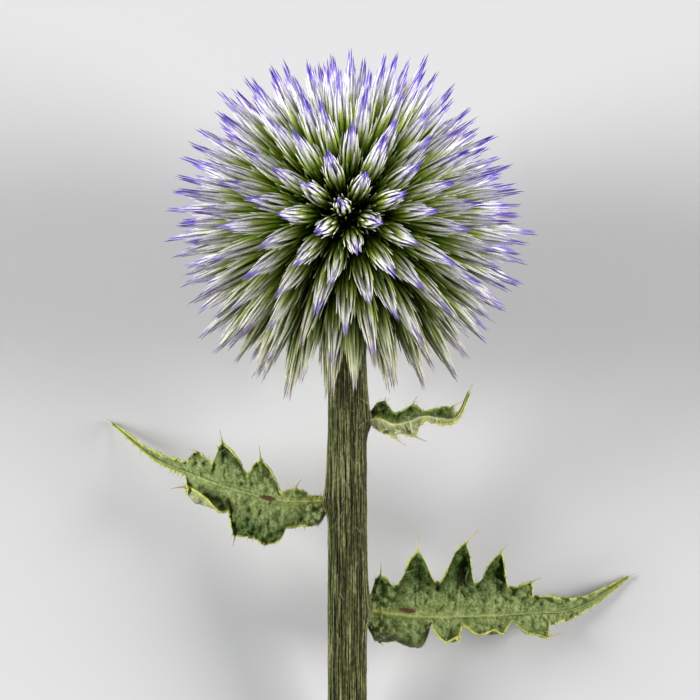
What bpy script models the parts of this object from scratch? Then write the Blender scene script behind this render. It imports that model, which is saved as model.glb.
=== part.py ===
"""Globe thistle flower, cut and lying on a surface. Metres, +Z up.

The flower is drawn upright round its own axis, with the head's centre at the origin, and an
empty then lays it down: the head rests on its floret tips, the stem on its cut end and the two
large leaves on their tips. The origin is under the middle of the whole flower, on the surface.
"""
import math
import random

import bmesh
import bpy
from mathutils import Vector

MM = 0.001
GAP = 0.3 * MM                        # left between pieces that touch in the real flower

# Head
HEAD_RADIUS = 25.0 * MM               # centre to floret tip
FLORETS = 245
FLORET_ANGLE = math.radians(137.508)  # from each floret to the next, round the axis
FIRST_FLORET = math.radians(279.0)
LAST_FLORET_TIP = math.radians(165.0)   # from the axis, so that the stem comes out between them
LAST_FLORET_BASE = math.radians(140.0)
BAND_SIZES = (5, 25, 40, 50, 50, 40, 35)  # florets in each band of clusters, top to bottom
CLUSTER_SIZE = 5
SEED = 11
TIP_SCATTER = 0.25 * MM
LENGTH_SCATTER = 0.03                 # part of the radius

# Floret
FLORET_SIDES = 5
FLORET_BASE_RADIUS = 0.36 * MM
FLORET_WIDEST_RADIUS = 1.4 * MM
FLORET_WIDEST_AT = 0.62               # part of its length
PAD_BOTTOM = 0.6 * MM                 # from a floret's base to the tissue that joins its cluster
PAD_TOP = 1.3 * MM

# Stem, whose top end swells into the seat of the florets
SEAT_RADIUS = 6.0 * MM
NECK_RADIUS = 2.2 * MM
STEM_RADIUS = 2.8 * MM
STEM_TOP_RADIUS = 2.5 * MM
STEM_FULL_WIDTH_AT = 30.0 * MM        # below the head's centre
STEM_SIDES = 16
SEAT_RINGS = 7
NECK_LENGTH = 3.6 * MM                # from the seat to where the stem is plain

# Lie
LEAN = math.radians(16.75)            # stem to surface

# Leaves
LEAF_THICKNESS = 0.6 * MM
LEAF_ROWS = 2                         # of faces from midrib to margin
NOTCH_SHARE = 0.62                    # of the smaller neighbour's reach, at most, in a notch
SHOULDER_SHARE = 0.66                 # of a lobe's rise that it has half way from a notch
SHOULDER_LEAN = 0.40                  # of a lobe's lean that it has half way from a notch
TIP_REACH = 0.25                      # half the width of a leaf's tip, in millimetres


def clear_scene():
    for old in list(bpy.data.objects):
        bpy.data.objects.remove(old, do_unlink=True)


def new_collection(name):
    collection = bpy.data.collections.new(name)
    bpy.context.scene.collection.children.link(collection)
    return collection


def material(name, colour, roughness):
    mat = bpy.data.materials.new(name)
    mat.use_nodes = True
    shader = mat.node_tree.nodes["Principled BSDF"]
    shader.inputs["Base Color"].default_value = (*colour, 1.0)
    shader.inputs["Roughness"].default_value = roughness
    shader.inputs["Metallic"].default_value = 0.0
    mat.diffuse_color = (*colour, 1.0)
    return mat


def mesh_object(name, bm, collection, mat):
    mesh = bpy.data.meshes.new(name)
    bm.to_mesh(mesh)
    bm.free()
    mesh.materials.append(mat)
    piece = bpy.data.objects.new(name, mesh)
    collection.objects.link(piece)
    return piece


def direction(polar, turn):
    """A unit vector at an angle from the flower's axis and a turn round it."""
    return Vector((math.sin(polar) * math.sin(turn), -math.sin(polar) * math.cos(turn),
                   math.cos(polar)))


def floret_lines():
    """Each floret's base and tip, from the head's top to its bottom, along a spiral."""
    scatter = random.Random(SEED)
    lines = []
    for number in range(FLORETS):
        share = (number + 0.5) / FLORETS
        polar = math.acos(1.0 - share * (1.0 - math.cos(LAST_FLORET_TIP)))
        turn = FIRST_FLORET - number * FLORET_ANGLE
        base_polar = polar * LAST_FLORET_BASE / LAST_FLORET_TIP
        base = direction(base_polar, turn) * (SEAT_RADIUS + GAP)
        reach = HEAD_RADIUS * (1.0 + scatter.uniform(-1.0, 1.0) * LENGTH_SCATTER)
        jitter = Vector([scatter.uniform(-1.0, 1.0) for axis in range(3)]) * TIP_SCATTER
        tip = (direction(polar, turn) * HEAD_RADIUS + jitter).normalized() * reach
        lines.append((base, tip, turn))
    return lines


def clusters(lines):
    """The florets in fives: bands across the axis, each shared out round it."""
    groups = []
    start = 0
    for size in BAND_SIZES:
        band = sorted(lines[start:start + size], key=lambda line: line[2] % math.tau)
        for first in range(0, size, CLUSTER_SIZE):
            groups.append(band[first:first + CLUSTER_SIZE])
        start += size
    return groups


def add_floret(bm, base, tip):
    """One closed spindle: a cone that widens from the base and one that narrows to the tip."""
    along = tip - base
    turn = along.to_track_quat("Z", "Y").to_matrix().to_4x4()
    turn.translation = base
    length = along.length
    ends = ((0.0, FLORET_BASE_RADIUS), (FLORET_WIDEST_AT * length, FLORET_WIDEST_RADIUS))
    rings = []
    for height, radius in ends:
        ring = bmesh.ops.create_circle(bm, segments=FLORET_SIDES, radius=radius)["verts"]
        for vert in ring:
            vert.co = turn @ (vert.co + Vector((0.0, 0.0, height)))
        rings.append(ring)
    edges = [{edge for vert in ring for edge in vert.link_edges} for ring in rings]
    bmesh.ops.bridge_loops(bm, edges=[*edges[0], *edges[1]])
    bmesh.ops.contextual_create(bm, geom=rings[0])
    point = bm.verts.new(tip)
    for edge in edges[1]:
        bm.faces.new((*edge.verts, point))


def cluster_piece(name, lines, collection, cutters, mat):
    """Neighbouring florets, joined near their bases by the tissue that they grow from."""
    florets = bmesh.new()
    pad = bmesh.new()
    for base, tip, turn in lines:
        add_floret(florets, base, tip)
        along = (tip - base).normalized()
        pad.verts.new(base + along * PAD_BOTTOM)
        pad.verts.new(base + along * PAD_TOP)
    bmesh.ops.recalc_face_normals(florets, faces=florets.faces)
    bmesh.ops.convex_hull(pad, input=pad.verts)
    joined = mesh_object(f"{name}_spindles", florets, cutters, mat)
    joined.hide_render = True
    joined.display_type = "WIRE"
    piece = mesh_object(name, pad, collection, mat)
    union = piece.modifiers.new("join_florets", "BOOLEAN")
    union.operation = "UNION"
    union.solver = "EXACT"
    union.object = joined
    return piece, joined


def stem_piece(head_height, collection, mat):
    """The stem and the seat, as one profile turned round the axis."""
    neck_angle = math.pi - math.asin(NECK_RADIUS / SEAT_RADIUS)
    profile = []
    for ring in range(SEAT_RINGS + 1):
        polar = neck_angle * ring / SEAT_RINGS
        profile.append((SEAT_RADIUS * math.sin(polar), SEAT_RADIUS * math.cos(polar)))
    end = -(head_height - STEM_RADIUS * math.cos(LEAN)) / math.sin(LEAN)
    profile.append((STEM_TOP_RADIUS, -SEAT_RADIUS - NECK_LENGTH))
    profile.append((STEM_RADIUS, -STEM_FULL_WIDTH_AT))
    profile.append((STEM_RADIUS, (end - STEM_FULL_WIDTH_AT) / 2.0))
    profile.append((STEM_RADIUS, end))
    profile.append((0.0, end))
    bm = bmesh.new()
    verts = [bm.verts.new((x, 0.0, z)) for x, z in profile]
    for upper, lower in zip(verts, verts[1:]):
        bm.edges.new((upper, lower))
    piece = mesh_object("stem", bm, collection, mat)
    turned = piece.modifiers.new("turn_profile", "SCREW")
    turned.axis = "Z"
    turned.steps = STEM_SIDES
    turned.render_steps = STEM_SIDES
    turned.use_merge_vertices = True
    turned.merge_threshold = 0.00001
    return piece


# A leaf's midrib: points out from the axis, along it, and up from the surface it lies on.
# A lobe: where it starts and ends along the midrib, where its spine is, and how far that reaches.
# Notches and strips are half widths between the lobes and after the last; slopes are radians
# up from the surface. Each is for the upper side and the lower. Lengths are millimetres.
LEAVES = {
    "leaf_left": {
        "side": -1.0,
        "midrib": ((3.4, -36.9, 14.0), (9.4, -36.9, 13.8), (15.4, -35.5, 11.5),
                   (21.4, -33.6, 7.6), (27.4, -31.3, 4.0), (33.4, -26.8, 0.3)),
        "upper_lobes": ((0.3, 5.8, 4.0, 1.9), (5.8, 10.4, 8.5, 5.2), (10.4, 15.2, 13.9, 6.2),
                        (15.2, 18.8, 17.5, 3.6)),
        "lower_lobes": ((0.3, 5.9, 3.4, 3.8), (5.9, 12.7, 10.6, 6.2), (12.7, 18.7, 17.0, 2.2)),
        "notches": (2.9, 3.3), "strips": (1.5, 0.7), "slopes": (0.05, -0.38), "end": 30.0,
    },
    "leaf_right_lower": {
        "side": 1.0,
        "midrib": ((3.3, -51.8, 9.9), (10.5, -52.6, 9.6), (17.7, -52.7, 7.8),
                   (24.9, -52.6, 5.0), (32.1, -52.0, 2.2), (39.3, -48.1, 0.3)),
        "upper_lobes": ((0.3, 3.4, 1.4, 5.0), (3.4, 9.1, 6.3, 8.9), (9.1, 14.3, 12.8, 10.3),
                        (14.3, 18.8, 17.6, 8.8), (18.8, 22.2, 21.9, 4.1), (22.2, 25.7, 25.0, 2.0)),
        "lower_lobes": ((0.3, 3.3, 2.1, 4.2), (3.3, 8.7, 6.2, 4.9), (8.7, 12.7, 12.2, 3.4),
                        (12.7, 19.7, 18.7, 2.8), (19.7, 24.7, 24.5, 3.4)),
        "notches": (4.4, 1.3), "strips": (1.9, 1.7), "slopes": (0.35, -0.70), "end": 36.0,
    },
    "leaf_right_upper": {
        "side": 1.0,
        "midrib": ((3.2, -25.8, 18.3), (5.9, -26.2, 19.5), (8.6, -25.8, 20.4), (11.4, -25.5, 21.0),
                   (14.4, -25.6, 21.7), (16.8, -21.0, 22.6)),
        "upper_lobes": ((0.3, 3.2, 1.9, 2.5), (3.2, 7.2, 5.7, 2.3), (7.2, 11.4, 11.2, 1.9)),
        "lower_lobes": ((0.3, 3.6, 3.0, 2.4), (3.6, 7.2, 5.8, 2.2), (7.2, 10.6, 9.0, 0.9)),
        "notches": (1.6, 1.2), "strips": (0.7, 0.6), "slopes": (-0.40, 0.15), "end": 13.6,
    },
}


def along_points(points, place):
    """The point at a place from 0 to 1 on a smooth curve through points."""
    scaled = place * (len(points) - 1)
    first = min(int(scaled), len(points) - 2)
    t = scaled - first
    p1 = Vector(points[first])
    p2 = Vector(points[first + 1])
    p0 = Vector(points[first - 1]) if first > 0 else 2 * p1 - p2
    p3 = Vector(points[first + 2]) if first + 2 < len(points) else 2 * p2 - p1
    return 0.5 * (2 * p1 + (p2 - p0) * t + (2 * p0 - 5 * p1 + 4 * p2 - p3) * t * t
                  + (3 * p1 - p0 - 3 * p2 + p3) * t * t * t)


def margin_stations(lobes, notch, strip, end):
    """Where the margin turns, as (place on the midrib, forward lean, reach), in order."""
    reaches = [notch] + [lobe[3] for lobe in lobes] + [strip / NOTCH_SHARE]
    lows = [min(notch, NOTCH_SHARE * min(pair)) for pair in zip(reaches, reaches[1:])]
    stations = []
    for (start, stop, spine, reach), low, next_low in zip(lobes, lows, lows[1:]):
        middle = (start + stop) / 2.0
        lean = spine - middle
        rising = low + (reach - low) * SHOULDER_SHARE
        falling = next_low + (reach - next_low) * SHOULDER_SHARE
        stations.append((start, 0.0, low))
        stations.append(((start + middle) / 2.0, SHOULDER_LEAN * lean, rising))
        stations.append((middle, lean, reach))
        stations.append(((middle + stop) / 2.0, SHOULDER_LEAN * lean, falling))
    last = lobes[-1][1]
    stations.append((last, 0.0, lows[-1]))
    stations.append(((last + end) / 2.0, 0.0, (lows[-1] + TIP_REACH) / 2.0))
    stations.append((end, 0.0, TIP_REACH))
    return stations


def read_stations(stations, place):
    """The lean and reach between two stations, in a straight line."""
    for before, after in zip(stations, stations[1:]):
        if place <= after[0]:
            share = (place - before[0]) / (after[0] - before[0])
            share = max(0.0, min(1.0, share))
            return tuple(b + (a - b) * share for b, a in zip(before[1:], after[1:]))
    return stations[-1][1:]


def stand_up(out, along, height, head_height):
    """A point of the upright flower from how far out, how far along and how high it ends up."""
    depth = (head_height + along * math.sin(LEAN) - height) / math.cos(LEAN)
    return Vector((out, depth, along))


def leaf_point(leaf, sides, place, row, head_height):
    """A point of the blade, at a place on the midrib and a row below it or above it."""
    number = 0 if row > 0 else 1
    lean, reach = read_stations(sides[number], place)
    slope = leaf["slopes"][number]
    share = row / LEAF_ROWS
    out, along, height = along_points(leaf["midrib"], min(place / leaf["end"], 1.0))
    out += lean * abs(share)
    along += reach * math.cos(slope) * share
    height += reach * math.sin(slope) * abs(share)
    height = max(height, LEAF_THICKNESS / MM / 2.0)
    return stand_up(leaf["side"] * out * MM, along * MM, height * MM, head_height)


def leaf_piece(name, leaf, head_height, collection, mat):
    """A bent lobed sheet, thickened. Its columns stand where the margin turns."""
    sides = [margin_stations(leaf[key], notch, strip, leaf["end"]) for key, notch, strip
             in zip(("upper_lobes", "lower_lobes"), leaf["notches"], leaf["strips"])]
    places = sorted({round(station[0], 2) for side in sides for station in side})
    bm = bmesh.new()
    columns = []
    for place in places:
        columns.append([bm.verts.new(leaf_point(leaf, sides, place, row, head_height))
                        for row in range(-LEAF_ROWS, LEAF_ROWS + 1)])
    for left, right in zip(columns, columns[1:]):
        for row in range(2 * LEAF_ROWS):
            bm.faces.new((left[row], right[row], right[row + 1], left[row + 1]))
    bmesh.ops.recalc_face_normals(bm, faces=bm.faces)
    piece = mesh_object(name, bm, collection, mat)
    thick = piece.modifiers.new("blade", "SOLIDIFY")
    thick.thickness = LEAF_THICKNESS
    thick.offset = 0.0
    return piece


def lowest_tip(lines):
    """How far the lowest floret tip is below the head's centre once the flower lies down."""
    return max(tip.y * math.cos(LEAN) - tip.z * math.sin(LEAN) for base, tip, turn in lines)


def world_box(pieces):
    bpy.context.view_layer.update()
    graph = bpy.context.evaluated_depsgraph_get()
    points = []
    for piece in pieces:
        ready = piece.evaluated_get(graph)
        points += [ready.matrix_world @ Vector(corner) for corner in ready.bound_box]
    low = Vector([min(point[axis] for point in points) for axis in range(3)])
    high = Vector([max(point[axis] for point in points) for axis in range(3)])
    return low, high


def main():
    clear_scene()
    flower = new_collection("globe_thistle")
    cutters = new_collection("globe_thistle_cutters")
    stem_green = material("stem_green", (0.17, 0.19, 0.09), 0.6)
    leaf_green = material("leaf_green", (0.10, 0.16, 0.05), 0.55)
    bract_violet = material("bract_violet", (0.42, 0.38, 0.62), 0.5)

    lines = floret_lines()
    head_height = lowest_tip(lines)
    pieces = [stem_piece(head_height, flower, stem_green)]
    for name, leaf in LEAVES.items():
        pieces.append(leaf_piece(name, leaf, head_height, flower, leaf_green))
    helpers = []
    for number, group in enumerate(clusters(lines), start=1):
        piece, joined = cluster_piece(f"florets_{number:02d}", group, flower, cutters, bract_violet)
        pieces.append(piece)
        helpers.append(joined)

    lie = bpy.data.objects.new("lying_flower", None)
    flower.objects.link(lie)
    lie.rotation_euler = (LEAN - math.pi / 2.0, 0.0, 0.0)
    for piece in pieces + helpers:
        piece.parent = lie
    low, high = world_box(pieces)
    lie.location = (-(low.x + high.x) / 2.0, -(low.y + high.y) / 2.0, head_height)
    bpy.context.view_layer.update()


main()
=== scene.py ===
"""The looks of a cut globe thistle flower, lying on a pale surface."""
import math
import random
from collections import namedtuple

import bmesh
import bpy
from mathutils import Matrix, Vector, noise


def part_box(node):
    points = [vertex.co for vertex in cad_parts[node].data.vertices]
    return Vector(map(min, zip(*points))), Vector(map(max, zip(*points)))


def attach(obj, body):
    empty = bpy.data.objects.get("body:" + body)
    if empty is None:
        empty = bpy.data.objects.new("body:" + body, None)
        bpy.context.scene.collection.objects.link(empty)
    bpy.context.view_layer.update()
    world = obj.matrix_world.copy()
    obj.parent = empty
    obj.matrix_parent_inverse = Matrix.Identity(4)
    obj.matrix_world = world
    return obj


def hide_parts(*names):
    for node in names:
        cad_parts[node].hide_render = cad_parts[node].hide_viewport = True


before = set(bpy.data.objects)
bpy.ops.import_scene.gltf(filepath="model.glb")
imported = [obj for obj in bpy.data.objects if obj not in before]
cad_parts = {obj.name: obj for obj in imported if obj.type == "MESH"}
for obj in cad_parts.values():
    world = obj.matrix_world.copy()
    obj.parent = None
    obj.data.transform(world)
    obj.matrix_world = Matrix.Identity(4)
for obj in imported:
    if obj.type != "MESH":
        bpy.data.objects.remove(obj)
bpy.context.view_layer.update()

MM = 0.001

# The same rule for the florets' places as the solids follow
HEAD_RADIUS = 25.0 * MM
FLORETS = 245
FLORET_ANGLE = math.radians(137.508)
FIRST_FLORET = math.radians(279.0)
LAST_FLORET_TIP = math.radians(165.0)
LAST_FLORET_BASE = math.radians(140.0)
BAND_SIZES = (5, 25, 40, 50, 50, 40, 35)
CLUSTER_SIZE = 5
SEED = 11
TIP_SCATTER = 0.25 * MM
LENGTH_SCATTER = 0.03
SEAT_RADIUS = 6.0 * MM
SEAT_GAP = 0.3 * MM
LEAN = math.radians(16.75)

# Stem
STEM_RADIUS = 2.62 * MM
STEM_TOP_RADIUS = 2.40 * MM
STEM_SIDES = 240
STEM_RINGS = 190
STEM_TAPER = 30.0 * MM                # from the head down, over which the stem gets its full width
STEM_TOP = -4.0 * MM                  # inside the seat of the florets
RIB_HEIGHT = 0.20 * MM
# How quickly the ribs change round and along the stem, and what they add to its relief
FINE_RIBS = (19.0, 200.0, 0.80)
BROAD_RIBS = (8.0, 80.0, 0.50)
FLARE = 0.80 * MM                     # how far the stem swells out to a leaf's foot,
FLARE_TURN = 0.55                     # how wide that is, in radians round the stem,
FLARE_ABOVE = 2.8                     # and how tall, in millimetres over and under the foot
FLARE_BELOW = 1.6
# Rings of the cut end: each one's share of the stem's radius, and its step down in millimetres
CUT_RINGS = ((0.93, 0.12), (0.82, -0.04), (0.72, 0.05), (0.45, -0.03), (0.12, -0.08))
STEM_HAIRS = 90

# Floret: whorls of bracts from the outside in. Each has a number of bracts, where they start and
# end along the floret, their half width, how far they stand off the bundle and how their tips flare.
WHORLS = (
    (7, 0.06, 0.43, 0.34, 1.10, 0.60),
    (6, 0.12, 0.58, 0.43, 1.08, 0.50),
    (6, 0.20, 0.71, 0.48, 1.00, 0.34),
    (6, 0.28, 0.83, 0.46, 0.86, 0.18),
    (4, 0.36, 0.93, 0.48, 0.66, 0.12),
    (3, 0.44, 1.00, 0.38, 0.40, 0.06),
)
BUNDLE_WIDEST = 1.15 * MM
BUNDLE_NARROWEST = 0.22               # as a share of the widest
BRACT_RINGS = (0.25, 0.48, 0.66, 0.82, 0.93)
BRACT_THICKNESS = 0.30 * MM
LENGTHS = (0.93, 1.04)
# How much the bracts of a whorl vary: their turn round the floret's line in radians, where they
# start and end along it, their width, and how much their tips flare
BRACT_TURNS = 0.18
BRACT_STARTS = 0.02
BRACT_STOPS = 0.045
BRACT_WIDTHS = (0.85, 1.1)
BRACT_FLARES = (0.3, 1.4)
INNER_STOPS = (0.94, 0.99)            # where all but one of the innermost bracts end
FULL_BLOOM = 82.0                     # degrees from the axis within which a floret is violet,
BLOOM_FADE = 72.0                     # and how many more take it to olive
BLOOM_SCATTER = 0.15
LOWEST_POINT = 0.03 * MM              # nothing is lower over the surface


class Maths:
    """A shader value that can be written in sums."""

    def __init__(self, look, socket):
        self.look = look
        self.socket = socket

    def _join(self, operation, first, second, clamp=False):
        settings = {"operation": operation, "use_clamp": clamp}
        node = self.look.node("ShaderNodeMath", settings, {0: first, 1: second})
        return Maths(self.look, node.outputs[0])

    def __add__(self, other):
        return self._join("ADD", self, other)

    def __radd__(self, other):
        return self._join("ADD", other, self)

    def __sub__(self, other):
        return self._join("SUBTRACT", self, other)

    def __rsub__(self, other):
        return self._join("SUBTRACT", other, self)

    def __mul__(self, other):
        return self._join("MULTIPLY", self, other)

    def __rmul__(self, other):
        return self._join("MULTIPLY", other, self)

    def held(self):
        """The value kept between 0 and 1."""
        return self._join("ADD", self, 0.0, clamp=True)

    def size(self):
        return self._join("ABSOLUTE", self, 0.0)

    def step(self, low, high):
        """0 below low and 1 above high, smooth between."""
        settings = {"interpolation_type": "SMOOTHSTEP"}
        values = {"Value": self, "From Min": low, "From Max": high}
        node = self.look.node("ShaderNodeMapRange", settings, values)
        return Maths(self.look, node.outputs["Result"])


class Look:
    """A material and its nodes."""

    def __init__(self, name, **constants):
        self.material = bpy.data.materials.new(name)
        self.material.use_nodes = True
        self.tree = self.material.node_tree
        self.shader = self.tree.nodes["Principled BSDF"]
        for socket, value in constants.items():
            self.shader.inputs[socket.replace("_", " ")].default_value = value

    def node(self, kind, settings=None, values=None):
        """A node with its settings made first, then the values or links of its sockets."""
        made = self.tree.nodes.new(kind)
        for name, value in (settings or {}).items():
            if name == "stops":
                set_stops(made.color_ramp, value)
            else:
                setattr(made, name, value)
        for socket, value in (values or {}).items():
            if isinstance(value, Maths):
                value = value.socket
            if isinstance(value, bpy.types.NodeSocket):
                self.tree.links.new(value, made.inputs[socket])
            else:
                made.inputs[socket].default_value = value
        return made

    def attribute(self, name):
        node = self.node("ShaderNodeAttribute", {"attribute_name": name})
        return Maths(self, node.outputs["Fac"])

    def place(self, scale=(1.0, 1.0, 1.0), turn=(0.0, 0.0, 0.0)):
        """The piece's own coordinates, stretched by scale after a turn."""
        where = self.node("ShaderNodeTexCoord").outputs["Object"]
        turned = self.node("ShaderNodeMapping", None, {"Vector": where, "Rotation": turn})
        return self.node("ShaderNodeMapping", None,
                         {"Vector": turned.outputs[0], "Scale": scale}).outputs[0]

    def noise(self, scale, vector, detail=3.0, roughness=0.5):
        node = self.node("ShaderNodeTexNoise", None,
                         {"Vector": vector, "Scale": scale, "Detail": detail,
                          "Roughness": roughness})
        return Maths(self, node.outputs["Fac"])

    def ramp(self, value, *stops):
        node = self.node("ShaderNodeValToRGB", {"stops": stops}, {"Fac": value})
        return node.outputs["Color"]

    def mix(self, share, first, second, blend="MIX"):
        settings = {"data_type": "RGBA", "blend_type": blend, "clamp_factor": True}
        node = self.node("ShaderNodeMix", settings, {0: share, 6: first, 7: second})
        return node.outputs[2]

    def wear(self, colour, roughness, bump=None, height=0.0, strength=0.0):
        """Links what varies over the surface to the shader."""
        self.tree.links.new(colour, self.shader.inputs["Base Color"])
        self.tree.links.new(roughness.socket, self.shader.inputs["Roughness"])
        if bump is not None:
            node = self.node("ShaderNodeBump", None,
                             {"Height": bump, "Distance": height, "Strength": strength})
            self.tree.links.new(node.outputs[0], self.shader.inputs["Normal"])
        return self.material


def set_stops(ramp, stops):
    """The positions and colours of a ramp's stops."""
    while len(ramp.elements) < len(stops):
        ramp.elements.new(0.5)
    for element, (position, colour) in zip(ramp.elements, stops):
        element.position = position
        element.color = (*colour, 1.0)


def grey(value):
    return (value, value, value, 1.0)


def bract_look():
    """Green at the base, darkened to near black deep in the head as painted shade, white at mid
    length brightened as painted highlight, violet along the edges and at the tip.
    """
    look = Look("bract_violet", Specular_IOR_Level=0.4)
    along = look.attribute("along")
    across = look.attribute("across").size()
    height = look.attribute("height")
    bloom = look.attribute("bloom")
    tone = look.attribute("tone")
    streaks = look.noise(2600.0, look.place(), 2.0, 0.6)
    # upper grows from a floret's base to its tip; at its low end every ramp goes near black, which
    # is painted shade deep inside the head over the bracts' green base.
    upper = (height * 0.88 + (along - 0.5) * 0.34 + (tone - 0.5) * 0.16
             + (bloom - 0.5) * 0.07).held()
    # The keel's white stops are the bracts' own pale colour brightened as painted highlight.
    keel = look.ramp(upper,
                     (0.16, (0.016, 0.044, 0.002)), (0.34, (0.090, 0.180, 0.006)),
                     (0.48, (0.280, 0.420, 0.020)), (0.60, (0.540, 0.610, 0.180)),
                     (0.68, (0.950, 0.950, 0.860)), (0.86, (0.970, 0.950, 1.000)),
                     (0.91, (0.330, 0.210, 0.860)), (1.00, (0.085, 0.025, 0.420)))
    edge = look.ramp(upper,
                     (0.16, (0.005, 0.014, 0.001)), (0.40, (0.050, 0.085, 0.004)),
                     (0.54, (0.220, 0.290, 0.050)), (0.66, (0.420, 0.380, 0.600)),
                     (0.78, (0.190, 0.110, 0.720)), (1.00, (0.055, 0.015, 0.340)))
    olive = look.ramp(upper,
                      (0.16, (0.003, 0.007, 0.001)), (0.44, (0.024, 0.036, 0.002)),
                      (0.62, (0.130, 0.165, 0.020)), (0.82, (0.430, 0.440, 0.210)),
                      (1.00, (0.330, 0.290, 0.280)))
    at_edge = (across + (streaks - 0.5) * 0.5).step(0.60, 1.00)
    violet = look.mix(at_edge, keel, edge)
    colour = look.mix(bloom * 0.9 + 0.1, olive, violet)
    tan = look.mix((tone - 0.97) * 40.0 * (along - 0.75).step(0.0, 0.15), colour,
                   (0.26, 0.17, 0.07, 1.0))
    lines = (streaks - 0.5) * 0.9 + 1.0
    shade = look.node("ShaderNodeCombineColor", None, {0: lines, 1: lines, 2: lines})
    colour = look.mix(1.0, tan, shade.outputs[0], "MULTIPLY")
    return look.wear(colour, 0.52 - (streaks - 0.5) * 0.3, streaks, 0.00006, 0.5)


def stem_look():
    """Khaki ribs with dark grooves and a pale felt; the grooves' near black and the dark tone of the
    whole stem are painted shade over its own khaki green.
    """
    look = Look("stem_green", Specular_IOR_Level=0.12)
    rib = look.attribute("rib")
    fibres = look.noise(5600.0, look.place((1.0, 0.10, 1.0), (-LEAN, 0.0, 0.0)), 3.0, 0.6)
    tufts = look.noise(3600.0, look.place((1.0, 0.45, 1.0), (-LEAN, 0.0, 0.0)), 3.0, 0.6)
    patches = look.noise(260.0, look.place(), 2.0)
    ridge = (rib * 0.75 + (fibres - 0.5) * 1.1 + (tufts - 0.5) * 1.0 + 0.06).held()
    # The low end of this ramp, in the grooves, is painted shade, and the whole ramp is kept dark as
    # painted shade.
    colour = look.ramp(ridge,
                       (0.08, (0.008, 0.009, 0.002)), (0.34, (0.036, 0.040, 0.010)),
                       (0.58, (0.100, 0.108, 0.034)), (0.90, (0.260, 0.262, 0.120)))
    warm = look.mix((patches - 0.35) * 1.2, colour, (0.045, 0.040, 0.012, 1.0))
    colour = look.mix(0.35, colour, warm)
    relief = fibres + rib + tufts * 0.7
    return look.wear(colour, 0.78 - fibres * 0.25, relief, 0.00016, 0.9)


def cut_look():
    """The cut end: green skin, a ring of bundles and pale pith."""
    look = Look("stem_cut", Roughness=0.6)
    ring = look.attribute("ring")
    grain = look.noise(3400.0, look.place(), 3.0, 0.6)
    colour = look.ramp((ring + (grain - 0.5) * 0.16).held(),
                       (0.00, (0.560, 0.540, 0.330)), (0.45, (0.500, 0.520, 0.270)),
                       (0.70, (0.280, 0.360, 0.110)), (0.80, (0.440, 0.470, 0.230)),
                       (0.93, (0.120, 0.170, 0.050)))
    return look.wear(colour, 0.7 - grain * 0.3, grain, 0.0001, 0.6)


def leaf_look(name, under):
    """Dark green lobes, a grey felt along the midrib, a yellow-green net of veins and a pale rim;
    the lobes' green is darkened as painted shade.
    """
    look = Look(name, Specular_IOR_Level=0.2)
    vein = look.attribute("vein")
    rim = look.attribute("rim")
    spot = look.attribute("spot")
    felt = look.attribute("felt")
    base = look.attribute("base")
    mottle = look.noise(700.0, look.place(), 4.0, 0.6)
    fine = look.noise(3600.0, look.place((0.45, 1.0, 1.0), (0.0, 0.0, 0.7)), 3.0, 0.65)
    warped = look.node("ShaderNodeVectorMath", {"operation": "MULTIPLY_ADD"},
                       {0: look.node("ShaderNodeTexNoise", None,
                                     {"Vector": look.place(), "Scale": 900.0}).outputs["Color"],
                        1: (0.0006, 0.0006, 0.0006), 2: look.place()})
    cells = look.node("ShaderNodeTexVoronoi", {"feature": "DISTANCE_TO_EDGE"},
                      {"Vector": warped.outputs[0], "Scale": 1000.0})
    net = 1.0 - Maths(look, cells.outputs["Distance"]).step(0.02, 0.16)
    tone = (mottle * 0.40 + fine * 0.60).held()
    pale = look.ramp(tone, (0.34, (0.110, 0.130, 0.050)), (0.50, (0.250, 0.275, 0.130)),
                     (0.66, (0.430, 0.440, 0.250)))
    blade = pale
    woolly = pale
    turned = look.attribute("turned")
    if not under:
        # This ramp's very dark green is the lobes' own green darkened as painted shade.
        blade = look.mix(turned, look.ramp(tone, (0.36, (0.005, 0.020, 0.001)),
                                           (0.50, (0.020, 0.050, 0.002)),
                                           (0.64, (0.062, 0.108, 0.007))), pale)
        woolly = look.mix(turned, look.ramp(tone, (0.36, (0.085, 0.122, 0.028)),
                                            (0.50, (0.165, 0.215, 0.062)),
                                            (0.64, (0.290, 0.345, 0.135))), pale)
    colour = look.mix((felt * 0.95 + (mottle - 0.5) * 0.5).held(), blade, woolly)
    colour = look.mix(net * 0.18, colour, (0.150, 0.190, 0.028, 1.0))
    vein_green = look.mix(turned, (0.350, 0.390, 0.140, 1.0), (0.620, 0.640, 0.360, 1.0))
    colour = look.mix((vein * (mottle + (turned + 0.15))).held(), colour, vein_green)
    colour = look.mix((rim * 1.1 - 0.1 + base * 0.8).held(), colour,
                      (0.470, 0.500, 0.090, 1.0))
    colour = look.mix((spot * (mottle + 0.5)).step(0.30, 0.60), colour,
                      (0.090, 0.040, 0.018, 1.0))
    relief = mottle * 0.5 + fine * 0.5 - net * 0.25 + vein * 0.4
    return look.wear(colour, 0.60 - fine * 0.3, relief, 0.00026, 0.9)


def spine_look():
    """Green at the foot, straw on the way and brown at the point."""
    look = Look("spine_straw", Roughness=0.4)
    along = look.attribute("along")
    grain = look.noise(3000.0, look.place())
    colour = look.ramp((along + (grain - 0.5) * 0.2).held(),
                       (0.0, (0.200, 0.230, 0.045)), (0.35, (0.430, 0.400, 0.140)),
                       (0.8, (0.460, 0.330, 0.130)), (1.0, (0.250, 0.120, 0.040)))
    return look.wear(colour, 0.35 + grain * 0.2)


def hair_look():
    """Dull white."""
    look = Look("hair_white", Roughness=0.5)
    grain = look.noise(2000.0, look.place())
    colour = look.ramp(grain, (0.3, (0.42, 0.42, 0.34)), (0.7, (0.62, 0.62, 0.54)))
    return look.wear(colour, 0.4 + grain * 0.2)


def direction(polar, turn):
    """A unit vector at an angle from the flower's axis and a turn round it."""
    return Vector((math.sin(polar) * math.sin(turn), -math.sin(polar) * math.cos(turn),
                   math.cos(polar)))


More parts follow.
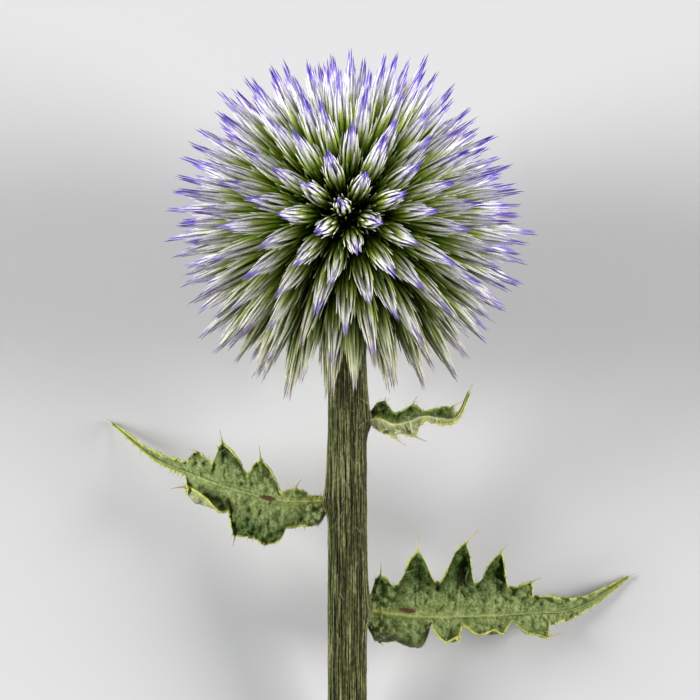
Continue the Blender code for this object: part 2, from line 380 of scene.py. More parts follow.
def floret_lines():
    """Each floret's base, tip, turn and angle from the axis, from the head's top down."""
    scatter = random.Random(SEED)
    lines = []
    for number in range(FLORETS):
        share = (number + 0.5) / FLORETS
        polar = math.acos(1.0 - share * (1.0 - math.cos(LAST_FLORET_TIP)))
        turn = FIRST_FLORET - number * FLORET_ANGLE
        base_polar = polar * LAST_FLORET_BASE / LAST_FLORET_TIP
        base = direction(base_polar, turn) * (SEAT_RADIUS + SEAT_GAP)
        reach = HEAD_RADIUS * (1.0 + scatter.uniform(-1.0, 1.0) * LENGTH_SCATTER)
        jitter = Vector([scatter.uniform(-1.0, 1.0) for axis in range(3)]) * TIP_SCATTER
        tip = (direction(polar, turn) * HEAD_RADIUS + jitter).normalized() * reach
        lines.append((base, tip, turn, polar))
    return lines


def clusters(lines):
    """The florets in fives: bands across the axis, each shared out round it."""
    groups = []
    start = 0
    for size in BAND_SIZES:
        band = sorted(lines[start:start + size], key=lambda line: line[2] % math.tau)
        for first in range(0, size, CLUSTER_SIZE):
            groups.append(band[first:first + CLUSTER_SIZE])
        start += size
    return groups


def lying(lines):
    """How the upright flower is laid down, from where the solids' florets and stem are."""
    turn = Matrix.Rotation(LEAN - math.pi / 2.0, 4, "X")
    tips = [turn @ line[1] for line in lines]
    boxes = [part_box(name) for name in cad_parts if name.startswith("florets_")]
    top = max(high[2] for low, high in boxes)
    back = max(high[1] for low, high in boxes)
    low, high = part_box("stem")
    middle = (low[0] + high[0]) / 2.0
    height = top - max(tip.z for tip in tips)
    return Matrix.Translation((middle, back - max(tip.y for tip in tips), height)) @ turn


def as_mesh(bm, name):
    mesh = bpy.data.meshes.new(name)
    bm.to_mesh(mesh)
    bm.free()
    return mesh


def finish_piece(name, bm, looks, slot, *nodes):
    """The mesh laid down with the flower, as a piece that stands for these solids."""
    bm.transform(LIE)
    for vert in bm.verts:
        vert.co.z = max(vert.co.z, LOWEST_POINT)
    mesh = as_mesh(bm, name)
    for look in looks:
        mesh.materials.append(look)
    piece = bpy.data.objects.new(name, mesh)
    bpy.context.scene.collection.objects.link(piece)
    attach(piece, "root")
    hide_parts(*nodes)


def held(value):
    """The value kept between 0 and 1."""
    return max(0.0, min(1.0, value))


def layers(bm, *names):
    """The points' layers of these names, made where they aren't there yet."""
    return [bm.verts.layers.float.get(name) or bm.verts.layers.float.new(name) for name in names]


def add_copy(bm, shape):
    """A copy of a mesh in bm, as its new points. Nothing has been deleted from bm before."""
    before = len(bm.verts)
    bm.from_mesh(shape)
    bm.verts.ensure_lookup_table()
    return bm.verts[before:]


def pull_face(bm, face):
    """The face's copy, joined to its old border by walls, in place of the face."""
    made = bmesh.ops.extrude_face_region(bm, geom=[face])["geom"]
    bmesh.ops.delete(bm, geom=[face], context="FACES_ONLY")
    return [part for part in made if isinstance(part, bmesh.types.BMFace)][0]


def bract_shape():
    """A closed keeled blade, one unit long: x across, y outwards, z along."""
    bm = bmesh.new()
    ring = bmesh.ops.create_circle(bm, segments=4, radius=1.0, cap_ends=True)["verts"]
    for vert in ring:
        angle = math.atan2(vert.co.y, vert.co.x)
        vert.co = (math.cos(angle), math.sin(angle), 0.0)
    face = bm.faces[:][0]
    if face.normal.z < 0:
        face.normal_flip()
    for height in BRACT_RINGS:
        face = pull_face(bm, face)
        for vert in face.verts:
            vert.co.z = height
    bmesh.ops.poke(bm, faces=[face])
    tip = max(bm.verts, key=lambda vert: (vert.co.z, -vert.co.xy.length))
    tip.co.z = 1.0
    bmesh.ops.recalc_face_normals(bm, faces=bm.faces)
    for part in bm.faces:
        part.smooth = True
    for edge in bm.edges:
        edge.smooth = not all(abs(vert.co.x) > 0.95 for vert in edge.verts)
    return as_mesh(bm, "bract_shape")


def blade_width(along):
    """The half width of a bract along its length, with a long drawn-out tip."""
    rise = 0.45 + 0.55 * math.sin(min(along / 0.5, 1.0) * math.pi / 2.0)
    fall = 1.0 - max(0.0, (along - 0.35) / 0.65)
    return rise * fall


def bundle_radius(share):
    """The radius of a floret's bundle of bracts at a share of its length."""
    swell = math.sin(min(share / 0.6, 1.0) * math.pi / 2.0) ** 1.2
    taper = 1.0 - max(0.0, (share - 0.55) / 0.45) ** 1.6
    girth = BUNDLE_NARROWEST + (1.0 - BUNDLE_NARROWEST) * swell
    return BUNDLE_WIDEST * girth * max(taper, BUNDLE_NARROWEST)


def add_floret(bm, shape, base, tip, polar, draw):
    """One floret: whorls of bracts round the line from base to tip."""
    along_layer, across_layer, height_layer, bloom_layer, tone_layer = layers(
        bm, "along", "across", "height", "bloom", "tone")
    axis = tip - base
    length = axis.length
    turned = axis.to_track_quat("Z", "Y").to_matrix()
    side, out = turned.col[0], turned.col[1]
    axis.normalize()
    bloom = held(1.0 - (math.degrees(polar) - FULL_BLOOM) / BLOOM_FADE)
    bloom = held(bloom + draw.uniform(-BLOOM_SCATTER, BLOOM_SCATTER))
    phase = draw.uniform(0.0, math.tau)
    for whorl, (count, start, end, width, stand, flare) in enumerate(WHORLS):
        for number in range(count):
            angle = phase + math.tau * (number + 0.5 * (whorl % 2)) / count
            angle += draw.uniform(-BRACT_TURNS, BRACT_TURNS)
            first = start + draw.uniform(-BRACT_STARTS, BRACT_STARTS)
            last = min(1.0, end + draw.uniform(-BRACT_STOPS, BRACT_STOPS))
            if whorl == len(WHORLS) - 1:
                last = 1.0 if number == 0 else draw.uniform(*INNER_STOPS)
            wide = width * draw.uniform(*BRACT_WIDTHS) * MM
            splay = flare * draw.uniform(*BRACT_FLARES) * MM
            radial = side * math.cos(angle) + out * math.sin(angle)
            round_it = axis.cross(radial)
            tone = draw.random()
            for vert in add_copy(bm, shape):
                x, y, z = vert.co
                share = first + (last - first) * z
                radius = bundle_radius(share) * stand + splay * z ** 4
                offset = x * wide * blade_width(z)
                drop = offset * offset / (2.0 * max(radius, 0.6 * MM))
                rise = (y if y > 0 else y * 0.3) * BRACT_THICKNESS * (1.0 - 0.7 * z)
                vert.co = (base + axis * (share * length) + round_it * offset
                           + radial * (radius - drop + rise))
                vert[along_layer] = z
                vert[across_layer] = x
                vert[height_layer] = share
                vert[bloom_layer] = bloom
                vert[tone_layer] = tone


def make_head(lines):
    """The florets, in the clusters that the solids hold."""
    shape = bract_shape()
    look = bract_look()
    draw = random.Random(SEED + 1)
    for number, group in enumerate(clusters(lines), start=1):
        name = f"florets_{number:02d}"
        bm = bmesh.new()
        for base, tip, _, polar in group:
            tip = base + (tip - base) * draw.uniform(*LENGTHS)
            add_floret(bm, shape, base, tip, polar, draw)
        finish_piece(f"{name}_bracts", bm, [look], "bract_violet", name)


# A leaf's parts, in millimetres. Its upper side is the one towards the flower, and a pair is for
# the upper and the lower side.
# side: 1 right of the stem, -1 left of it. seed: for its ruffles and hairs.
# profiles: how full its lobes are, and how steep their shoulders.
# spot: a brown mark's place along the midrib, and how far above the midrib it is. A place before
# the leaf's foot leaves the leaf without one.
# midrib: points out from the stem's axis, along that axis, and up from the surface.
# lobes: where each starts along the midrib, how far out the margin is there, where its spine's
# foot stands, how far it reaches, its curl towards the viewer in radians, its spine's length, and
# that spine's lean to the leaf's tip in degrees. A lobe stops where the next starts.
# tails: where the last lobe stops and how far out the margin is there. end: the leaf tip's place.
# slopes: how steeply the blade climbs from the midrib, in radians.
# turned: 1 where the lower half shows the blade's pale back, else 0. On a turned leaf the upper half
# keeps the dark green as painted shade.
LEAVES = {
    "leaf_left": {
        "side": -1.0, "seed": 3, "profiles": ((2.0, 1.1), (3.2, 1.0)), "spot": (8.6, 0.0),
        "midrib": ((2.2, -36.9, 14.0), (8.44, -36.9, 13.9), (14.68, -35.7, 11.9),
                   (20.92, -33.8, 7.9), (27.16, -31.4, 4.2), (33.4, -26.8, 0.35)),
        "upper_lobes": ((0.4, 0.5, 1.4, 0.8, 0.0, 0.3, 0.0),
                        (2.6, 0.7, 5.0, 1.9, -0.2, 1.5, -45.0),
                        (7.0, 1.0, 9.7, 5.2, -0.5, 2.0, 0.0),
                        (11.6, 2.3, 15.1, 6.2, -0.5, 2.2, 0.0),
                        (16.4, 2.6, 18.7, 3.6, -0.7, 1.2, 65.0)),
        "lower_lobes": ((0.4, 2.4, 3.6, 3.5, -0.3, 0.5, 0.0),
                        (6.2, 3.9, 9.2, 6.5, -0.4, 0.5, -10.0),
                        (10.9, 6.0, 13.3, 6.4, -0.4, 1.4, 0.0),
                        (13.9, 3.2, 20.2, 3.8, 3.5, 2.0, 78.0)),
        "tails": ((20.0, 1.5), (20.2, 0.7)), "slopes": (0.15, -0.30), "end": 31.2, "turned": 0.0,
    },
    "leaf_right_lower": {
        "side": 1.0, "seed": 8, "profiles": ((2.6, 3.0), (2.4, 1.0)), "spot": (5.9, 0.7),
        "midrib": ((2.2, -51.7, 9.9), (9.62, -52.6, 9.8), (17.04, -52.7, 8.0),
                   (24.46, -52.6, 5.2), (31.88, -52.1, 2.3), (39.3, -48.1, 0.35)),
        "upper_lobes": ((0.6, 2.4, 2.4, 5.2, 0.5, 1.7, 0.0),
                        (4.4, 4.0, 7.4, 9.0, 0.6, 2.2, 0.0),
                        (10.1, 4.8, 13.9, 10.4, 0.7, 2.4, 34.0),
                        (15.4, 4.5, 18.7, 8.8, 0.7, 1.5, 30.0),
                        (20.0, 3.8, 23.1, 4.5, 0.4, 1.4, 50.0),
                        (23.4, 2.4, 26.1, 2.4, 0.2, 0.9, 42.0)),
        "lower_lobes": ((0.6, 3.2, 2.2, 4.4, -0.9, 2.8, 15.0),
                        (4.2, 3.8, 7.5, 4.9, -1.0, 0.8, 35.0),
                        (9.2, 1.0, 12.7, 3.7, 2.4, 0.9, 0.0),
                        (13.4, 0.9, 17.9, 2.8, 2.5, 0.3, 20.0),
                        (20.4, 0.9, 25.4, 3.3, 1.2, 2.0, 78.0)),
        "tails": ((26.8, 1.9), (25.8, 1.7)), "slopes": (0.10, -0.40), "end": 37.1, "turned": 0.0,
    },
    "leaf_right_upper": {
        "side": 1.0, "seed": 5, "profiles": ((2.2, 1.6), (2.2, 1.6)), "spot": (-9.0, 0.0),
        "midrib": ((2.2, -25.9, 17.9), (4.3, -25.7, 18.7), (6.4, -26.4, 19.6), (8.4, -26.0, 20.2),
                   (10.5, -25.3, 20.8), (12.6, -25.6, 21.2), (14.7, -25.4, 21.7),
                   (16.4, -22.0, 22.4)),
        "upper_lobes": ((0.6, 1.2, 2.9, 2.5, 0.2, 0.6, 0.0),
                        (4.2, 1.6, 6.7, 2.3, 0.3, 1.2, 15.0),
                        (8.2, 0.7, 12.2, 1.6, 0.3, 1.9, 8.0)),
        "lower_lobes": ((0.6, 0.9, 4.0, 2.4, -0.3, 2.2, 22.0),
                        (4.6, 1.2, 6.8, 2.2, -0.3, 1.9, 60.0),
                        (8.2, 0.5, 10.0, 0.9, 0.2, 0.6, 60.0)),
        "tails": ((12.4, 0.7), (11.6, 0.6)), "slopes": (-0.45, 0.10), "end": 14.6, "turned": 1.0,
    },
}
LEAF_COLUMNS = 240
LEAF_ROWS = 30
BLADE = 0.24 * MM                     # its thickness
LOWEST = 0.30                         # of a leaf over the surface, in millimetres
CURL_STEPS = 10
BEND = (0.35, 0.40)                   # where a lobe starts to bend, and over how much of it
TIP_WIDTH = 0.20                      # of half the leaf at its tip, in millimetres
FULL_SIZE = 5.0                       # a reach with ruffles of full height
LOBE_CROWN = 0.35                     # the heights of its shapes, in millimetres
WAVES = 0.8
RUFFLES = 0.7
FOLDS = 0.70
CRINKLES = 0.26
PUCKERS = 0.12
RIB_CROWN = 0.24
VEIN_CROWN = 0.10
RIB_WIDTH = 0.11                      # of the midrib at the leaf's tip,
RIB_WIDENING = 0.17                   # and how much more that is at its foot
RIM_WIDTH = 0.26
FELT_WIDTH = 3.6                      # either side of the midrib
SPOT_LENGTH = 1.3
SPOT_HEIGHT = 0.38
SPINE_RADIUS = 0.26 * MM
SPINULE_RADIUS = 0.10 * MM
SPIKE_CLEARANCE = 0.2 * MM            # of spines and the stem's hairs, over the surface
HAIR_RADIUS = 0.022 * MM
HAIR_CLEARANCE = 0.3 * MM             # of the leaves' hairs
LEAF_HAIRS = 60

# Places in a piece's list of materials
UNDERSIDE = 1
SPINES = 2
COBWEB = 3
CUT_END = 1
STEM_FLUFF = 2

# Camera
CAMERA_LENS = 150.0
CAMERA_AWAY = 0.396
CAMERA_ASIDE = 0.37 * MM
CAMERA_MIDDLE = -16.4 * MM            # along the flower's axis


def along_points(points, place):
    """The point at a place from 0 to 1 on a smooth curve through points."""
    scaled = place * (len(points) - 1)
    first = min(int(scaled), len(points) - 2)
    t = scaled - first
    p1 = Vector(points[first])
    p2 = Vector(points[first + 1])
    p0 = Vector(points[first - 1]) if first > 0 else 2 * p1 - p2
    p3 = Vector(points[first + 2]) if first + 2 < len(points) else 2 * p2 - p1
    return 0.5 * (2 * p1 + (p2 - p0) * t + (2 * p0 - 5 * p1 + 4 * p2 - p3) * t * t
                  + (3 * p1 - p0 - 3 * p2 + p3) * t * t * t)


Lobe = namedtuple("Lobe", "start low stop next_low spine reach curl length tilt")


def lobes_of(leaf, upper):
    """A side's lobes from start to stop, with how far out the margin is at both, and its tail."""
    lobes = leaf["upper_lobes" if upper else "lower_lobes"]
    tail = leaf["tails"][0 if upper else 1]
    stops = [lobe[:2] for lobe in lobes[1:]] + [tail]
    return [Lobe(*lobe[:2], *stop, *lobe[2:]) for lobe, stop in zip(lobes, stops)], tail


def margin(leaf, upper, place):
    """Lean, reach and curl of the margin at a place, and how near a lobe's own line this is."""
    lobes, (last, strip) = lobes_of(leaf, upper)
    for lobe in lobes:
        if lobe.start <= place <= lobe.stop:
            width = lobe.stop - lobe.start
            middle = (lobe.start + lobe.stop) / 2.0
            low = lobe.low + (lobe.next_low - lobe.low) * (place - lobe.start) / width
            near = 1.0 - abs(place - middle) * 2.0 / width
            fullness, shoulder = leaf["profiles"][0 if upper else 1]
            peak = 0.88 * (1.0 - (1.0 - near) ** fullness) ** shoulder + 0.12 * near ** 9.0
            lean = (lobe.spine - middle) * near ** 1.3
            return lean, low + (lobe.reach - low) * peak, lobe.curl * near ** 0.5, near
    if place > last:
        share = (place - last) / (leaf["end"] - last)
        return 0.0, TIP_WIDTH + (strip - TIP_WIDTH) * (1.0 - share), 0.0, 0.0
    return 0.0, lobes[0].low, 0.0, 0.0


def across_blade(slope, curl, share):
    """How far across and up a blade gets at a share of its reach, as it bends on its way."""
    across = 0.0
    up = 0.0
    for step in range(CURL_STEPS):
        part = share * (step + 0.5) / CURL_STEPS
        turned = min(max((part - BEND[0]) / BEND[1], 0.0), 1.0)
        angle = slope + curl * turned * turned * (3.0 - 2.0 * turned)
        across += math.cos(angle) * share / CURL_STEPS
        up += math.sin(angle) * share / CURL_STEPS
    return across, up


def stand_up(out, along, height):
    """A point of the upright flower from how far out, how far along and how high it ends up."""
    depth = (LIE.translation.z + along * math.sin(LEAN) - height) / math.cos(LEAN)
    return Vector((out, depth, along))


def uneven(*place):
    """Smooth noise at a place, from about -1 to 1."""
    return noise.noise(Vector(place))


def leaf_point(leaf, place, row):
    """The blade's surface at a place on the midrib and a row from -1 to 1, with its marks."""
    upper = row > 0
    lean, reach, curl, near = margin(leaf, upper, place)
    share = abs(row)
    progress = min(place / leaf["end"], 1.0)
    out, along, height = along_points(leaf["midrib"], progress)
    slope = leaf["slopes"][0 if upper else 1]
    full = across_blade(slope, curl, 1.0)[0]
    reach *= min(1.0, 0.4 + place / 2.5)
    stretch = min(1.6, 1.0 / max(abs(full), 0.1)) * reach
    across, up = across_blade(slope, curl, share)
    out += lean * share ** 1.3
    along += across * stretch * (1.0 if upper else -1.0)
    height += up * stretch
    size = min(reach / FULL_SIZE, 1.0)
    seed = leaf["seed"]
    wave = WAVES * uneven(place * 0.42, row * 2.0, seed)
    height += (LOBE_CROWN * math.sin(near * math.pi) + wave) * share * size
    height += RUFFLES * uneven(place * 1.1, row * 3.0, seed + 9.0) * share ** 2 * size
    folds = (FOLDS * uneven(out * 0.9, along * 1.5, seed + 2.0)
             + CRINKLES * uneven(out * 1.9, along * 1.9, seed + 4.0)
             + PUCKERS * uneven(out * 3.4 + along * 1.6, along * 3.0, seed + 6.0))
    height += folds * min(1.0, share * reach / 1.2)
    wander = 0.05 * uneven(place * 1.3, share * 4.0, seed + 6.0)
    side_vein = max(0.0, 1.0 - abs(1.0 - near - wander) * 13.0) * max(0.0, 1.0 - share * 0.9)
    rib_width = RIB_WIDTH + RIB_WIDENING * (1.0 - progress)
    rib = math.exp(-(share * reach / rib_width) ** 2)
    height += RIB_CROWN * rib + VEIN_CROWN * side_vein
    point = stand_up(leaf["side"] * out * MM, along * MM, max(height, LOWEST) * MM)
    rim = math.exp(-((1.0 - share) * reach / RIM_WIDTH) ** 2)
    felt = math.exp(-(share * reach / FELT_WIDTH) ** 4)
    return point, min(1.0, rib + side_vein * 0.7), rim, felt


def spread_rows(row):
    """Rows stand closer together at the midrib and at the margin."""
    return math.copysign((1.0 - math.cos(math.pi * abs(row))) / 2.0, row)


def make_leaf(name, leaf, looks, spike, hair):
    """A lobed blade with raised veins, straw spines on its lobes and margin, and cobweb hairs."""
    bm = bmesh.new()
    vein, rim, spot, felt, along, base, turned = layers(
        bm, "vein", "rim", "spot", "felt", "along", "base", "turned")
    grid = bmesh.ops.create_grid(bm, x_segments=LEAF_COLUMNS, y_segments=2 * LEAF_ROWS, size=1.0)
    spot_place, spot_across = leaf["spot"]
    above = {vert for vert in grid["verts"] if vert.co.y > 0.0}
    for vert in grid["verts"]:
        place = (vert.co.x + 1.0) / 2.0 * leaf["end"]
        row = spread_rows(vert.co.y)
        point, vert[vein], vert[rim], vert[felt] = leaf_point(leaf, place, row)
        middle = leaf_point(leaf, place, 0.0)[0]
        across = (point.z - middle.z) / MM
        vert[spot] = math.exp(-((place - spot_place) / SPOT_LENGTH) ** 2
                              - ((across - spot_across) / SPOT_HEIGHT) ** 2)
        vert[base] = math.exp(-place / 4.0 - (across / 0.7) ** 2)
        # On a turned leaf only the lower half takes the pale colour, and its felt is cut back; the
        # upper half keeps the dark green as painted shade.
        vert[turned] = leaf["turned"] * held(0.5 - row * 6.0)
        vert[felt] *= 1.0 - 0.8 * leaf["turned"]
        vert.co = point
    bm.normal_update()
    up = straight_up()
    if sum(face.normal.dot(up) for face in bm.faces if above.issuperset(face.verts)) < 0.0:
        bmesh.ops.reverse_faces(bm, faces=bm.faces)
        bm.normal_update()
    tops = bm.verts[:]
    copied = bmesh.ops.duplicate(bm, geom=tops + bm.edges[:] + bm.faces[:])
    for vert in tops:
        copied["vert_map"][vert].co = vert.co - vert.normal * BLADE
    under_faces = [item for item in copied["geom"] if isinstance(item, bmesh.types.BMFace)]
    bmesh.ops.reverse_faces(bm, faces=under_faces)
    for face in under_faces:
        face.material_index = UNDERSIDE
    rims = [edge for edge in bm.edges if edge.is_boundary]
    for face in bmesh.ops.bridge_loops(bm, edges=rims)["faces"]:
        face.material_index = 0
    for face in bm.faces:
        face.smooth = True
    draw = random.Random(leaf["seed"])
    add_spines(bm, leaf, spike, along)
    add_spinules(bm, leaf, spike, draw, along)
    add_hairs(bm, leaf, hair, draw, along)
    finish_piece(f"{name}_blade", bm, looks, "leaf_green", name)


def spike_shape(sides, cuts):
    """A closed tube one unit long and one in radius, for spines and hairs."""
    bm = bmesh.new()
    bmesh.ops.create_cone(bm, segments=sides, cap_ends=True, radius1=1.0, radius2=1.0, depth=1.0)
    uprights = [edge for edge in bm.edges if abs(edge.verts[0].co.z - edge.verts[1].co.z) > 0.5]
    bmesh.ops.subdivide_edges(bm, edges=uprights, cuts=cuts, use_grid_fill=True)
    bmesh.ops.translate(bm, verts=bm.verts, vec=(0.0, 0.0, 0.5))
    bmesh.ops.recalc_face_normals(bm, faces=bm.faces)
    for face in bm.faces:
        face.smooth = True
    return as_mesh(bm, "spike_shape")


def add_spike(bm, shape, start, bend, tip, radius, taper, slot, along_layer):
    """A tapering tube from start to tip, pulled towards bend on its way."""
    turn = (tip - start).to_track_quat("Z", "Y").to_matrix()
    made = add_copy(bm, shape)
    for vert in made:
        x, y, z = vert.co
        centre = start * (1.0 - z) ** 2 + bend * 2.0 * z * (1.0 - z) + tip * z * z
        thick = radius * ((1.0 - z) ** taper * 0.88 + 0.12)
        vert.co = centre + turn @ Vector((x * thick, y * thick, 0.0))
        vert[along_layer] = z
    for face in {face for vert in made for face in vert.link_faces}:
        face.material_index = slot


def straight_up():
    """The surface's upward direction, in the upright flower."""
    return LIE.inverted().to_3x3() @ Vector((0.0, 0.0, 1.0))


def margin_frame(leaf, place, sign):
    """A margin point, the way out of the blade there and the way to the leaf's tip."""
    tip = leaf_point(leaf, place, sign)[0]
    back = leaf_point(leaf, place, sign * 0.72)[0]
    outward = (tip - back).normalized()
    onward = Vector((leaf["side"], 0.0, 0.0))
    onward = (onward - outward * onward.dot(outward)).normalized()
    return tip, outward, onward


def lift(point, height):
    """The point, raised to a height over the surface if it is lower."""
    world = LIE @ point
    world.z = max(world.z, height)
    return LIE.inverted() @ world


def add_spines(bm, leaf, spike, along_layer):
    """A spine on each lobe and one at the leaf's tip."""
    for sign in (1.0, -1.0):
        for lobe in lobes_of(leaf, sign > 0)[0]:
            foot, outward, onward = margin_frame(leaf, (lobe.start + lobe.stop) / 2.0, sign)
            lean = math.radians(lobe.tilt)
            way = outward * math.cos(lean) + onward * math.sin(lean)
            root = foot - outward * 0.5 * MM
            tip = lift(foot + way * lobe.length * MM, SPIKE_CLEARANCE)
            bend = lift(foot + way * lobe.length * 0.25 * MM, SPIKE_CLEARANCE)
            radius = SPINE_RADIUS * min(1.0, 0.6 + lobe.length * 0.2)
            add_spike(bm, spike, root, bend, tip, radius, 1.5, SPINES, along_layer)
    foot = leaf_point(leaf, leaf["end"], 0.0)[0]
    back = leaf_point(leaf, leaf["end"] * 0.95, 0.0)[0]
    onward = (foot - back).normalized()
    tip = lift(foot + onward * 1.2 * MM, SPIKE_CLEARANCE)
    add_spike(bm, spike, foot - onward * 0.4 * MM, foot, tip, SPINE_RADIUS * 0.7, 1.0,
              SPINES, along_layer)


def add_spinules(bm, leaf, spike, draw, along_layer):
    """Small spines all along the margin."""
    for sign in (1.0, -1.0):
        place = 1.0
        while place < leaf["end"] - 1.5:
            foot, outward, onward = margin_frame(leaf, place, sign)
            length = draw.uniform(0.25, 0.75) * MM
            tip = foot + outward * length + onward * length * draw.uniform(0.0, 0.9)
            add_spike(bm, spike, foot - outward * 0.15 * MM, foot, lift(tip, SPIKE_CLEARANCE),
                      SPINULE_RADIUS, 1.2, SPINES, along_layer)
            place += draw.uniform(0.5, 1.9)


def add_hairs(bm, leaf, hair, draw, along_layer):
    """Cobweb hairs that curl away from the margin and lie across the blade."""
    up = straight_up()
    for number in range(LEAF_HAIRS):
        place = leaf["end"] * draw.random() ** 2.4 * 0.9 + 0.4
        sign = draw.choice((1.0, -1.0))
        row = sign * (draw.uniform(0.1, 0.9) if number % 4 == 0 else 1.0)
        foot = leaf_point(leaf, place, row)[0]
        loose = [Vector([draw.uniform(-1.0, 1.0) for axis in range(3)]) for part in range(2)]
        bend = foot + (loose[0] + up * 0.9) * MM
        long = draw.uniform(0.8, 2.4) + 1.2 * math.exp(-place / 2.0)
        tip = foot + (loose[1] * long + up * 0.5) * MM
        add_spike(bm, hair, foot, lift(bend, HAIR_CLEARANCE), lift(tip, HAIR_CLEARANCE),
                  HAIR_RADIUS, 0.4, COBWEB, along_layer)


def around(turn):
    """The way out of the stem at a turn round it."""
    return Vector((math.sin(turn), math.cos(turn), 0.0))


def stem_radius(turn, along):
    """The stem's radius, and how far up a rib this is, from 0 to 1."""
    radius = STEM_TOP_RADIUS + (STEM_RADIUS - STEM_TOP_RADIUS) * min(-along / STEM_TAPER, 1.0)
    out = around(turn)
    quick, rise, fine_share = FINE_RIBS
    fine = noise.noise(out * quick + Vector((0.0, 0.0, along * rise)))
    quick, rise, broad_share = BROAD_RIBS
    broad = noise.noise(out * quick + Vector((5.0, 0.0, along * rise)))
    rib = held(0.5 + fine_share * fine + broad_share * broad)
    radius += RIB_HEIGHT * (rib - 0.5)
    for leaf in LEAVES.values():
        foot = leaf["midrib"][0][1] * MM
        away = (turn - math.pi / 2.0 * leaf["side"] + math.pi) % math.tau - math.pi
        over = (along - foot) / MM
        flare = math.exp(-over / FLARE_ABOVE) if over > 0.0 else math.exp(-(over / FLARE_BELOW) ** 2)
        radius += FLARE * math.exp(-(away / FLARE_TURN) ** 2) * flare
    return radius, rib


def stem_hairs(hair, end):
    """Fine hairs that stand off the stem and point down it."""
    draw = random.Random(SEED + 2)
    bm = bmesh.new()
    along_layer, = layers(bm, "along")
    for number in range(STEM_HAIRS):
        turn = draw.uniform(0.0, math.tau)
        along = draw.uniform(end, -HEAD_RADIUS)
        out = around(turn)
        foot = out * stem_radius(turn, along)[0] + Vector((0.0, 0.0, along))
        round_it = Vector((out.y, -out.x, 0.0)) * draw.uniform(-0.8, 0.8)
        down = Vector((0.0, 0.0, -draw.uniform(0.3, 1.6)))
        tip = foot + (out * draw.uniform(0.3, 0.9) + round_it + down) * MM
        bend = foot + out * draw.uniform(0.3, 0.9) * MM
        add_spike(bm, hair, foot, lift(bend, SPIKE_CLEARANCE), lift(tip, SPIKE_CLEARANCE),
                  HAIR_RADIUS, 0.4, STEM_FLUFF, along_layer)
    return as_mesh(bm, "stem_hairs")


def make_stem(looks, hair):
    """The ribbed stem with its flared leaf bases, its cut end and the seat of the florets."""
    bm = bmesh.new()
    rib_layer, ring_layer = layers(bm, "rib", "ring")
    end = -(LIE.translation.z - STEM_RADIUS * math.cos(LEAN)) / math.sin(LEAN)
    bmesh.ops.create_cone(bm, segments=STEM_SIDES, cap_ends=True, radius1=1.0, radius2=1.0,
                          depth=2.0)
    uprights = [edge for edge in bm.edges if abs(edge.verts[0].co.z - edge.verts[1].co.z) > 1.0]
    bmesh.ops.subdivide_edges(bm, edges=uprights, cuts=STEM_RINGS, use_grid_fill=True)
    for vert in bm.verts:
        turn = math.atan2(vert.co.x, vert.co.y)
        along = end + (STEM_TOP - end) * (vert.co.z + 1.0) / 2.0
        radius, rib = stem_radius(turn, along)
        vert.co = (radius * math.sin(turn), radius * math.cos(turn), along)
        vert[rib_layer] = rib
        vert[ring_layer] = 1.0
    bm.normal_update()
    caps = [face for face in bm.faces if len(face.verts) > 4]
    cut = min(caps, key=lambda face: face.calc_center_median().z)
    for face in bm.faces:
        face.smooth = face not in caps
    size = 1.0
    for ring, depth in CUT_RINGS:
        cut = pull_face(bm, cut)
        for vert in cut.verts:
            vert.co.x *= ring / size
            vert.co.y *= ring / size
            vert.co.z -= depth * MM
            vert[ring_layer] = ring
        for face in {face for vert in cut.verts for face in vert.link_faces}:
            face.material_index = CUT_END
        size = ring
    seat = bmesh.ops.create_uvsphere(bm, u_segments=32, v_segments=20, radius=SEAT_RADIUS)
    for vert in seat["verts"]:
        # The seat takes a groove's dark colour, as painted shade deep inside the head.
        vert[rib_layer] = 0.3
    for face in {face for vert in seat["verts"] for face in vert.link_faces}:
        face.smooth = True
    bm.from_mesh(stem_hairs(hair, end))
    finish_piece("stem_ribbed", bm, looks, "stem_green", "stem")


def make_floor():
    """A pale surface, which isn't part of the flower."""
    bm = bmesh.new()
    bmesh.ops.create_grid(bm, x_segments=1, y_segments=1, size=2.0)
    mesh = as_mesh(bm, "floor")
    look = Look("floor_paper", Roughness=0.9, Base_Color=grey(0.56))
    mesh.materials.append(look.material)
    floor = bpy.data.objects.new("floor", mesh)
    bpy.context.scene.collection.objects.link(floor)


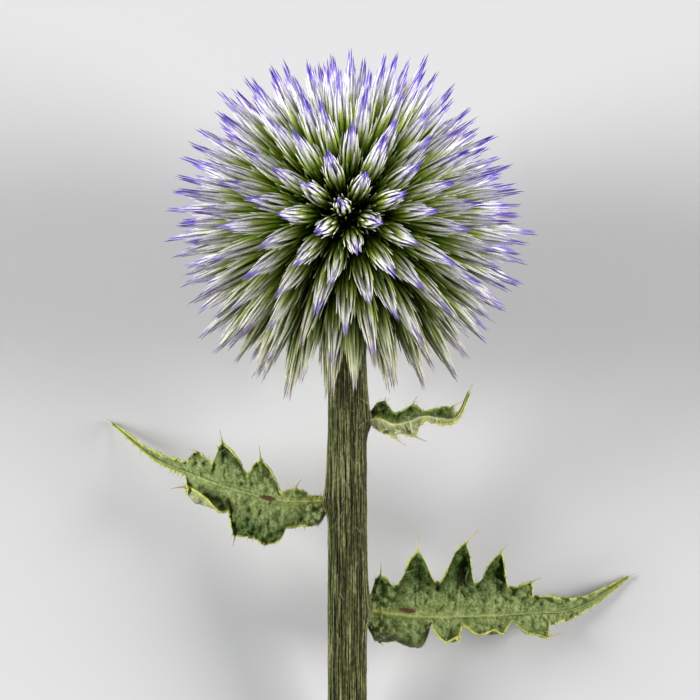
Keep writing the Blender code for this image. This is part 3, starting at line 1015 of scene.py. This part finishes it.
def add_light(name, offset, width, power):
    """A round soft light at an offset from the head's middle, which it looks at."""
    light = bpy.data.lights.new(name, "AREA")
    light.shape = "DISK"
    light.size = width
    light.energy = power
    lamp = bpy.data.objects.new(name, light)
    bpy.context.scene.collection.objects.link(lamp)
    head = LIE.translation.copy()
    lamp.location = head + Vector(offset)
    lamp.rotation_euler = (head - lamp.location).to_track_quat("-Z", "Y").to_euler()


def make_studio():
    """Soft light from both sides and behind the head, and a camera square to the stem."""
    middle = LIE @ Vector((0.0, 0.0, CAMERA_MIDDLE))
    towards = (LIE.to_3x3() @ Vector((0.0, -1.0, 0.0))).normalized()
    camera_data = bpy.data.cameras.new("camera")
    camera_data.lens = CAMERA_LENS
    camera_data.clip_start = 0.01
    camera = bpy.data.objects.new("camera", camera_data)
    bpy.context.scene.collection.objects.link(camera)
    place = middle + towards * CAMERA_AWAY + Vector((CAMERA_ASIDE, 0.0, 0.0))
    up = LIE.to_3x3() @ Vector((0.0, 0.0, 1.0))
    turn = Matrix((up.cross(towards), up, towards)).transposed().to_4x4()
    camera.matrix_world = Matrix.Translation(place) @ turn
    bpy.context.scene.camera = camera
    add_light("left_softbox", (-1.20, 0.00, 0.51), 0.75, 27.5)
    add_light("right_softbox", (1.20, -0.08, 0.51), 0.75, 25.0)
    add_light("back_softbox", (0.00, 0.85, 0.50), 0.50, 1.2)
    world = bpy.data.worlds.new("studio")
    world.use_nodes = True
    background = world.node_tree.nodes["Background"]
    background.inputs["Color"].default_value = (0.92, 0.94, 1.0, 1.0)
    background.inputs["Strength"].default_value = 0.20
    bpy.context.scene.world = world
    bpy.context.scene.view_settings.view_transform = "Standard"


florets = floret_lines()
LIE = lying(florets)
make_head(florets)
spike = spike_shape(6, 5)
hair = spike_shape(3, 6)
white = hair_look()
make_stem([stem_look(), cut_look(), white], hair)
leaf_looks = [leaf_look("leaf_green", False), leaf_look("leaf_pale", True), spine_look(), white]
for leaf_name, leaf_plan in LEAVES.items():
    make_leaf(leaf_name, leaf_plan, leaf_looks, spike, hair)
make_floor()
make_studio()
